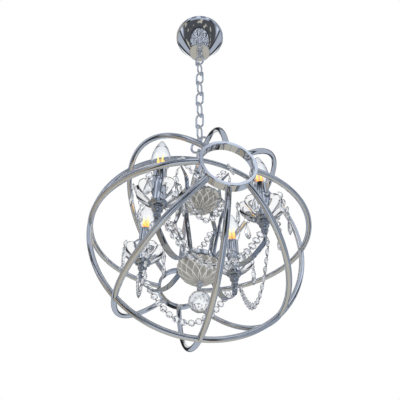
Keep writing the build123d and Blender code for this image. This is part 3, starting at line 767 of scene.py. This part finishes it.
piece = cut_bowl("upper_bowl", rim_r=35.4, rim_z=85.1, base_z=62.0, rows=5, sides=20)
fit(piece, "orb_frame", "upper_bowl", slot="crystal")
piece = cut_bowl("lower_bowl", rim_r=39.6, rim_z=-64.0, base_z=-94.0, rows=6, sides=22)
fit(piece, "orb_frame", "lower_bowl", slot="crystal")

# ---- Candle cups and dishes --------------------------------------------------------------------
# Each arm ends in a turned chrome cup, a fluted sheet petal saucer and a pressed-glass dish with
# ten ribs and a scalloped rim, all threaded on the cup's stud.
CANDLE_REACH = 0.1275
PETALS = 8
PETAL_START, PETAL_REACH = 0.0075, 0.009
PETAL_DEPTH = 0.08
PETAL_DROP = 0.0028
RIBS = 10
RIB_START, RIB_REACH = 0.010, 0.020
RIB_DEPTH, RIB_LIFT = 0.0014, 0.6
RIM_START, RIM_REACH = 0.030, 0.011
SCALLOP_DEPTH = 0.055
SCALLOP_DROP = 0.0026
GROOVE_EDGE = (0.0, 0.10)
GROOVE_PAINTED_SHADE = (0.22, 0.24, 0.29, 1)


def candle_at(n):
    """The place of a candle's upright axis, seen from above, in metres."""
    a = math.radians(45 + 90 * n)
    return (CANDLE_REACH * math.cos(a), CANDLE_REACH * math.sin(a))


cup = [(0, -42), (4.4, -42), (4.5, -40.5), (5.6, -38.6), (6.6, -35.5), (6.1, -32.5)]
cup += [(4.8, -30.4), (5.4, -28.8), (8.0, -27.2), (9.0, -25.2), (9.0, -23.6), (7.8, -21.4)]
cup += [(6.2, -20.2), (6.2, -18.2), (6.6, -17.1), (3, -17.1), (3, -2), (0, -2)]
cups = [lathe(mm(cup, ORB_DROP), candle_at(n), 40) for n in range(4)]
fit(add_mesh("arm_cups", *join(cups), chrome_painted_shade, crease=40), "orb_frame", "arm_cups")


def petals(a, r, z, _):
    """Draws the saucer in and down between its petals, more towards the rim."""
    gap = 1 - abs(math.cos(PETALS * a / 2))
    grow = max(0.0, (r - PETAL_START) / PETAL_REACH)
    return r * (1 - PETAL_DEPTH * grow * gap), z - PETAL_DROP * grow * gap**2


saucer = [(3.2, -16.9), (8.6, -16.9), (11.6, -16.1), (14.4, -13.9), (16.4, -11.1), (15.7, -10.6)]
saucer += [(13.6, -13.1), (11.2, -15.1), (8.4, -15.85), (3.2, -15.85), (3.2, -16.9)]
saucers = [lathe(mm(saucer, ORB_DROP), candle_at(n), 96, wave=petals) for n in range(4)]
fit(add_mesh("petal_cups", *join(saucers), chrome_painted_shade, crease=30), "orb_frame", "petal_cups")

# The grooves between the ribs are painted darker: painted shade. One pattern serves all four
# dishes: each dish's own middle is found by folding the lamp's four quarters onto one.
pressed = glass("pressed_glass", (0.96, 0.965, 0.975), (0.14, 0.15, 0.18), ripple=0.05)
g, shader, plain = reopened(pressed)
_, (px, py, _) = g.coords()
dx = (px * px).root() - CANDLE_REACH * math.sqrt(0.5)
dy = (py * py).root() - CANDLE_REACH * math.sqrt(0.5)
valley = (dy.bearing(dx) * (RIBS / 2) + math.pi / 2).sine()
ridge = (valley * valley).step(*GROOVE_EDGE)
g.put(shader.inputs["Base Color"], g.mix(ridge, GROOVE_PAINTED_SHADE, plain))


def ribs(a, r, z, i):
    """Cuts grooves into the dish's outside and scallops its rim."""
    grow = min(max(0.0, (r - RIB_START) / RIB_REACH), 1.0)
    valley = 1 - abs(math.cos(RIBS * a / 2))
    groove = RIB_DEPTH * valley**2 * grow if i < len(dish_low) else 0.0
    rim = max(0.0, (r - RIM_START) / RIM_REACH)
    drawn = r * (1 - SCALLOP_DEPTH * rim * valley) - groove
    return drawn, z - SCALLOP_DROP * rim * valley + RIB_LIFT * groove


dish_low = [(3.4, -15.5), (6, -15.5), (11, -13.0), (16.6, -9.6), (22.5, -5.6), (28, -1.2)]
dish_low += [(33, 3.0), (37, 7.4), (39.6, 11.2), (41.0, 15.0)]
dish_top = [(39.0, 15.0), (37.4, 11.8), (34.8, 8.2), (30.8, 4.6), (26, 0.9), (20.8, -2.9)]
dish_top += [(15.6, -6.7), (11, -10.0), (6, -12.4), (3.4, -12.4), (3.4, -15.5)]
for n in range(4):
    shape = lathe(mm(dish_low + dish_top, ORB_DROP), candle_at(n), 120, wave=ribs)
    name = f"glass_bobeche_{n + 1}"
    fit(add_mesh(name, *shape, pressed, crease=12), "orb_frame", name, slot="crystal")

# ---- Candle sleeves and lampholders ------------------------------------------------------------
# Chromed tube sleeve, open at both ends, over a moulded black lampholder that keeps its solid
# shape and shows only at the sleeve's mouth.
sleeve = [(11.2, -8.6), (12, -8.6), (12, 64.4), (11.8, 64.9), (11.3, 64.9), (11.2, 64.4)]
sleeve += [(11.2, -8.6)]
for n in range(4):
    shape = lathe(mm(sleeve, ORB_DROP), candle_at(n), 56)
    name = f"candle_sleeve_{n + 1}"
    fit(add_mesh(name, *shape, chrome, crease=35), "orb_frame", name)
holder_black = bpy.data.materials.new("holder_black")
g = Graph(holder_black)
vector, _ = g.coords()
grain = g.noise(vector, 400.0)
bump = g.node("ShaderNodeBump", Height=grain, Strength=0.1, Distance=0.0003)
shader = g.node(
    "ShaderNodeBsdfPrincipled",
    Base_Color=(0.035, 0.034, 0.033, 1),
    Roughness=grain * 0.1 + 0.4,
    Normal=bump.outputs[0],
)
g.surface(shader)
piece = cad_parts["lampholders"]
piece.data.materials.clear()
piece.data.materials.append(holder_black)

# ---- Bulbs -------------------------------------------------------------------------------------
# Clear blown candle bulb on a screwed brass cap, whose stem carries four hot filament strands.
# They stand in a warm halo of two shells, one inside the other.
GLASS_WALL = 0.8
NECK_TOP = 110
FLAME_FOOT, FLAME_TOP = 0.067, 0.094
FLAME_FOOT_REACH, FLAME_TIP_REACH = 0.0035, 0.0066
FLAME_RADIUS = 0.0021
FLAME_SIDES, FLAME_STEPS = 8, 6
FLAME_TURN = 20
FLAME_STAGGER = 0.002
FLAME_TAPER = 0.85
GLOW_FOOT, GLOW_RISE = 0.068, 0.014
HALO_Z = 77
HALO_SHELLS = ((6.4, 9.5), (8.4, 12.5))
HALO_STEPS = 16
brass = metal("brass_cap", (0.80, 0.66, 0.38), 0.18, 0.1, 0.05)
bulb_clear = glass("bulb_clear", (0.965, 0.975, 0.99), (0.42, 0.46, 0.52), ior=1.3)


def glowing(name, low, high, strength, alpha):
    """Hot filament light: colour runs from low at its foot to high above it."""
    material = bpy.data.materials.new(name)
    g = Graph(material)
    _, (_, _, gz) = g.coords()
    climb = (gz + ORB_DROP - GLOW_FOOT).step(0.0, GLOW_RISE)
    shader = g.node(
        "ShaderNodeBsdfPrincipled",
        Base_Color=(0, 0, 0, 1),
        Specular_IOR_Level=0.0,
        Emission_Color=g.mix(climb, low, high),
        Emission_Strength=strength,
        Alpha=alpha,
    )
    g.surface(shader)
    return material


hot = glowing("filament_hot", (1.0, 0.36, 0.06, 1), (1.0, 0.66, 0.14, 1), 2.6, 1.0)
halo = glowing("filament_halo", (1.0, 0.22, 0.05, 1), (1.0, 0.60, 0.22, 1), 1.0, 0.32)
bulb = [(7.0, 48.6), (7.4, 52), (9.6, 60), (12.6, 68), (15.8, 77), (17.6, 86), (17.1, 95)]
bulb += [(14.9, 105), (12.0, 114), (8.6, 122.6), (5.8, 128.6), (3.4, 132.8), (1.4, 135.0)]
bulb += [(0.0, 135.4)]
outer = [(max(p.x, 0.0), p.y) for p in smooth_curve(bulb, 4)]
inner = []
for r, z in reversed(outer):
    inner.append((max(r - GLASS_WALL, 0.0), z - (GLASS_WALL if z > NECK_TOP else 0.0)))
cap = [(0, 23.5), (3, 23.5), (7, 27.5), (7, 48.4), (5.2, 48.5), (2.2, 54.5), (2.0, 66)]
cap += [(1.2, 71), (0, 71.6)]
for n in range(4):
    at = candle_at(n)
    shape = lathe(mm(outer + inner + [outer[0]], ORB_DROP), at, 64)
    name = f"bulb_glass_{n + 1}"
    piece = add_mesh(name, *shape, bulb_clear, crease=60)
    fit(piece, f"bulb_{n + 1}", name, slot="bulb_glass")
    name = f"bulb_cap_{n + 1}"
    piece = add_mesh(name, *lathe(mm(cap, ORB_DROP), at, 40), brass, crease=40)
    fit(piece, f"bulb_{n + 1}", name, slot="bulb_cap")
    strands = []
    for k in range(4):
        a = math.radians(90 * k + FLAME_TURN)
        out = Vector((math.cos(a), math.sin(a), 0))
        middle = Vector((at[0], at[1], -ORB_DROP))
        foot = middle + out * FLAME_FOOT_REACH + UP * FLAME_FOOT
        tip = middle + out * FLAME_TIP_REACH + UP * (FLAME_TOP + FLAME_STAGGER * (k - 1.5))
        points = [foot + (tip - foot) * s / FLAME_STEPS for s in range(FLAME_STEPS + 1)]
        shape = sweep(points, disc(FLAME_RADIUS, FLAME_SIDES))
        # Each strand tapers from its foot to its tip.
        for i, v in enumerate(shape[0]):
            t = (i // FLAME_SIDES) / FLAME_STEPS
            v += (foot + (tip - foot) * t - v) * (FLAME_TAPER * t**1.5)
        strands.append(shape)
    piece = add_mesh(f"filament_{n + 1}", *join(strands), hot)
    fit(piece, f"bulb_{n + 1}", slot="bulb_cap")
    for k, (half, tall) in enumerate(HALO_SHELLS):
        shell = []
        for i in range(HALO_STEPS + 1):
            a = math.pi * (i / HALO_STEPS - 0.5)
            shell.append((half * math.cos(a), HALO_Z + tall * math.sin(a)))
        shell[0] = (0, HALO_Z - tall)
        shell[-1] = (0, HALO_Z + tall)
        shape = lathe(mm(shell, ORB_DROP), at, 32)
        piece = add_mesh(f"filament_halo_{n + 1}_{k + 1}", *shape, halo)
        fit(piece, f"bulb_{n + 1}", slot="bulb_glass")

# ---- Bead swags --------------------------------------------------------------------------------
# Octagons of cut lead crystal strung corner to corner on dark metal pins and hung from hooks on
# the straps and arms in three tiers. A cluster of six small ones sits on each strap's tip.
TABLE = 0.60
BEAD_FACE, BEAD_PEAK = 0.0022, 0.0026
BEAD_GAP = 0.3
HOOK = 5.5
HOOK_START, HOOK_STOP = 0.15, 0.75
HOOK_WIRE, PIN_WIRE = 0.0007, 0.0008
PIN_HALF, PIN_OUT = 0.0032, 0.0014
CLUSTER_BEAD = 0.010
CLUSTER_SPREAD = 0.0085
CLUSTER_REACH, CLUSTER_Z = 0.073, 0.115
CLUSTER_TILT = 0.25
LINE_STEPS = 400
crystal = glass("crystal", (0.95, 0.965, 0.985), (0.10, 0.11, 0.14), ior=1.58)
pin_metal = metal("pin_metal", (0.26, 0.27, 0.30), 0.2)


def octagon(width):
    """A bevelled octagon in facets: its corners along local x, its thickness along local z."""
    r = width / 2
    eighth = math.pi / 8
    rings = [(r * TABLE, -BEAD_FACE, eighth), (r, 0.0, 0.0), (r * TABLE, BEAD_FACE, eighth)]
    verts = [Vector((0, 0, -BEAD_PEAK))]
    for radius, z, turn in rings:
        for s in range(8):
            a = math.pi * s / 4 + turn
            verts.append(Vector((radius * math.cos(a), radius * math.sin(a), z)))
    verts.append(Vector((0, 0, BEAD_PEAK)))
    low, mid, high, peak = 1, 9, 17, 25
    faces = []
    for s in range(8):
        t = (s + 1) % 8
        faces.append((0, low + t, low + s))
        faces.append((low + s, low + t, mid + t))
        faces.append((low + s, mid + t, mid + s))
        faces.append((high + s, mid + s, mid + t))
        faces.append((high + s, mid + t, high + t))
        faces.append((peak, high + s, high + t))
    return verts, faces


def placed(shape, origin, x_dir, z_dir):
    """A shape carried to a place with its local x and z axes turned as asked."""
    x = Vector(x_dir).normalized()
    z = Vector(z_dir)
    z = (z - x * z.dot(x)).normalized()
    turn = Matrix((x, z.cross(x), z)).transposed()
    return [turn @ v + Vector(origin) for v in shape[0]], shape[1]


def swag_places(radius, z, sag, edge, count):
    """Places of the beads of four swags, evenly spaced along hanging parabolas, the ends of their
    eight hooks, and the width of a bead. Given in millimetres, returned in metres."""
    places = []
    hooks = []
    for n in range(4):
        ends = []
        for side, at in ((1, 45 + 90 * n), (-1, 135 + 90 * n)):
            a = math.radians(at)
            across = Vector((-side * math.sin(a), side * math.cos(a), 0))
            base = Vector((radius * math.cos(a), radius * math.sin(a), z - 1000 * ORB_DROP))
            foot = base + across * (edge + HOOK_START)
            hooks.append((foot, base + across * (edge + HOOK - HOOK_STOP)))
            ends.append(base + across * (edge + HOOK))
        start, end = ends
        middle = (start + end) / 2 - UP * 2 * sag
        line = []
        for i in range(LINE_STEPS + 1):
            t = i / LINE_STEPS
            line.append(start * (1 - t) ** 2 + middle * 2 * t * (1 - t) + end * t * t)
        lengths = [0.0]
        for a, b in zip(line, line[1:]):
            lengths.append(lengths[-1] + (b - a).length)
        width = lengths[-1] / count - BEAD_GAP
        facing = math.radians(90 + 90 * n)
        normal = Vector((math.cos(facing), math.sin(facing), 0))
        for i in range(count):
            goal = lengths[-1] * (i + 0.5) / count
            k = min(range(1, LINE_STEPS), key=lambda q: abs(lengths[q] - goal))
            places.append((line[k] / 1000, (line[k + 1] - line[k - 1]).normalized(), normal))
    return places, [(a / 1000, b / 1000) for a, b in hooks], width / 1000


SWAGS = {
    "crown_garlands": {"radius": 63, "z": 124.5, "sag": 32, "edge": 4.5, "count": 8},
    "bowl_garlands": {"radius": 57, "z": 50, "sag": 48, "edge": 4.5, "count": 9},
    "arm_garlands": {"radius": 127.5, "z": -45, "sag": 77, "edge": 6.0, "count": 16},
}
for name, sizes in SWAGS.items():
    places, hooks, width = swag_places(**sizes)
    beads = [placed(octagon(width), *place) for place in places]
    if name == "crown_garlands":
        for n in range(4):
            a = math.radians(45 + 90 * n)
            out = Vector((math.cos(a), math.sin(a), CLUSTER_TILT)).normalized()
            across = Vector((-math.sin(a), math.cos(a), 0))
            centre = out * CLUSTER_REACH + UP * (CLUSTER_Z - ORB_DROP)
            for k in range(6):
                spin = math.radians(60 * k)
                spoke = across * math.cos(spin) + out.cross(across) * math.sin(spin)
                spot = centre + spoke * CLUSTER_SPREAD
                beads.append(placed(octagon(CLUSTER_BEAD), spot, spoke, out))
    piece = add_mesh(name, *join(beads), crystal, smooth=False)
    fit(piece, "orb_frame", name, slot="crystal")
    pins = [sweep([a, b], disc(HOOK_WIRE, 8)) for a, b in hooks]
    for i, (origin, tangent, normal) in enumerate(places):
        if i % sizes["count"]:
            joint = origin - tangent * (width / 2 + BEAD_GAP / 2000) + normal * PIN_OUT
            bar = [joint - tangent * PIN_HALF, joint + tangent * PIN_HALF]
            pins.append(sweep(bar, disc(PIN_WIRE, 6)))
    fit(add_mesh(f"{name}_pins", *join(pins), pin_metal), "orb_frame")

# ---- Drop strings ------------------------------------------------------------------------------
# Almond drops of cut crystal, each under one to three octagons, wired round the rim of every dish.
# The strings were hung by hand: they stand a little unevenly and some are longer.
DROP_LENGTH, DROP_HALF = 0.034, 0.0075
DROP_WIDEST = 0.62
DROP_FACE, DROP_PEAK = 0.0028, 0.0032
TABLE_WIDTH, TABLE_LENGTH = 0.5, 0.55
DISH_RIM, DISH_RIM_Z = 0.041, 0.015
STRING_BEAD, STRING_PITCH = 0.013, 0.0133
STRING_OUT, STRING_UP = 0.0028, 0.005
WIRE_OUT, WIRE_HALF, WIRE = 0.0012, 0.003, 0.0005


def almond():
    """A flat, pointed drop cut in long facets: its tip at the origin, hanging along -z."""
    outline = [(0.0, 0.06), (0.14, 0.30), (0.32, 0.62), (0.52, 0.90), (0.68, 1.0), (0.83, 0.84)]
    outline += [(0.94, 0.45)]
    right = [(width * DROP_HALF, -t * DROP_LENGTH) for t, width in outline]
    ring = right + [(0.0, -DROP_LENGTH)] + [(-x, z) for x, z in reversed(right)]
    size = len(ring)
    middle = -DROP_WIDEST * DROP_LENGTH
    verts = [Vector((x, 0, z)) for x, z in ring]
    for y in (-DROP_FACE, DROP_FACE):
        for x, z in ring:
            verts.append(Vector((x * TABLE_WIDTH, y, middle + (z - middle) * TABLE_LENGTH)))
    verts += [Vector((0, -DROP_PEAK, middle)), Vector((0, DROP_PEAK, middle))]
    faces = []
    for s in range(size):
        t = (s + 1) % size
        for base, peak in ((size, 3 * size), (2 * size, 3 * size + 1)):
            faces.append((s, t, base + t))
            faces.append((s, base + t, base + s))
            faces.append((base + s, base + t, peak))
    return verts, faces


# Each dish's strings: the azimuth of each in degrees, and its number of octagons.
STRINGS = (
    ((10, 1), (70, 1), (130, 1), (190, 1), (250, 1), (310, 2)),
    ((15, 1), (80, 1), (146, 3), (210, 1), (270, 1), (325, 1)),
    ((5, 1), (60, 1), (125, 1), (185, 1), (240, 1), (300, 1)),
    ((354, 2), (34, 3), (110, 1), (175, 1), (235, 1), (295, 1)),
)
shapes = []
pins = []
for n, strings in enumerate(STRINGS):
    x, y = candle_at(n)
    for degrees, beads in strings:
        a = math.radians(degrees)
        out = Vector((math.cos(a), math.sin(a), 0))
        spot = Vector((x, y, 0)) + out * (DISH_RIM + STRING_OUT)
        z = DISH_RIM_Z + STRING_UP - ORB_DROP
        for _ in range(beads):
            centre = spot + UP * (z - STRING_BEAD / 2)
            shapes.append(placed(octagon(STRING_BEAD), centre, UP, out))
            z -= STRING_PITCH
            bar = spot + out * WIRE_OUT + UP * z
            pins.append(sweep([bar + UP * WIRE_HALF, bar - UP * WIRE_HALF], disc(WIRE, 6)))
        shapes.append(placed(almond(), spot + UP * z, UP.cross(out), UP))
piece = add_mesh("crystal_drops", *join(shapes), crystal, smooth=False)
fit(piece, "orb_frame", "crystal_drops", slot="crystal")
fit(add_mesh("crystal_drop_pins", *join(pins), pin_metal), "orb_frame")

# ---- Ball drop ---------------------------------------------------------------------------------
# A ball of cut crystal with staggered flat facets, hung by a small chromed ring from the finial.
# The facets are the hull of points set on level rows, fewer to a row towards the poles.
BALL_Z = -0.7823
BALL_RADIUS = 0.0187
BALL_ROWS = 13
BALL_WIDEST = 20
BALL_RING_Z = -0.7614
BALL_RING_RADIUS = 0.0026
ball = bmesh.new()
for i in range(BALL_ROWS + 1):
    b = math.pi * i / BALL_ROWS
    count = 1 if i in (0, BALL_ROWS) else max(6, round(BALL_WIDEST * math.sin(b)))
    for j in range(count):
        a = 2 * math.pi * (j + 0.5 * (i % 2)) / count
        r = BALL_RADIUS * math.sin(b)
        ball.verts.new((r * math.cos(a), r * math.sin(a), BALL_Z + BALL_RADIUS * math.cos(b)))
bmesh.ops.convex_hull(ball, input=ball.verts)
ball.verts.index_update()
verts = [v.co.copy() for v in ball.verts]
faces = [tuple(v.index for v in f.verts) for f in ball.faces]
ball.free()
piece = add_mesh("crystal_ball", verts, faces, crystal, smooth=False)
fit(piece, "ball_drop", "crystal_ball", slot="crystal")
points = []
for s in range(24):
    a = 2 * math.pi * s / 24
    y = BALL_RING_RADIUS * math.cos(a)
    points.append(Vector((0, y, BALL_RING_Z + BALL_RING_RADIUS * math.sin(a))))
shape = sweep(points, disc(SMALL_RING_WIRE, 8), closed=True)
fit(add_mesh("ball_ring", *shape, chrome), "ball_drop")
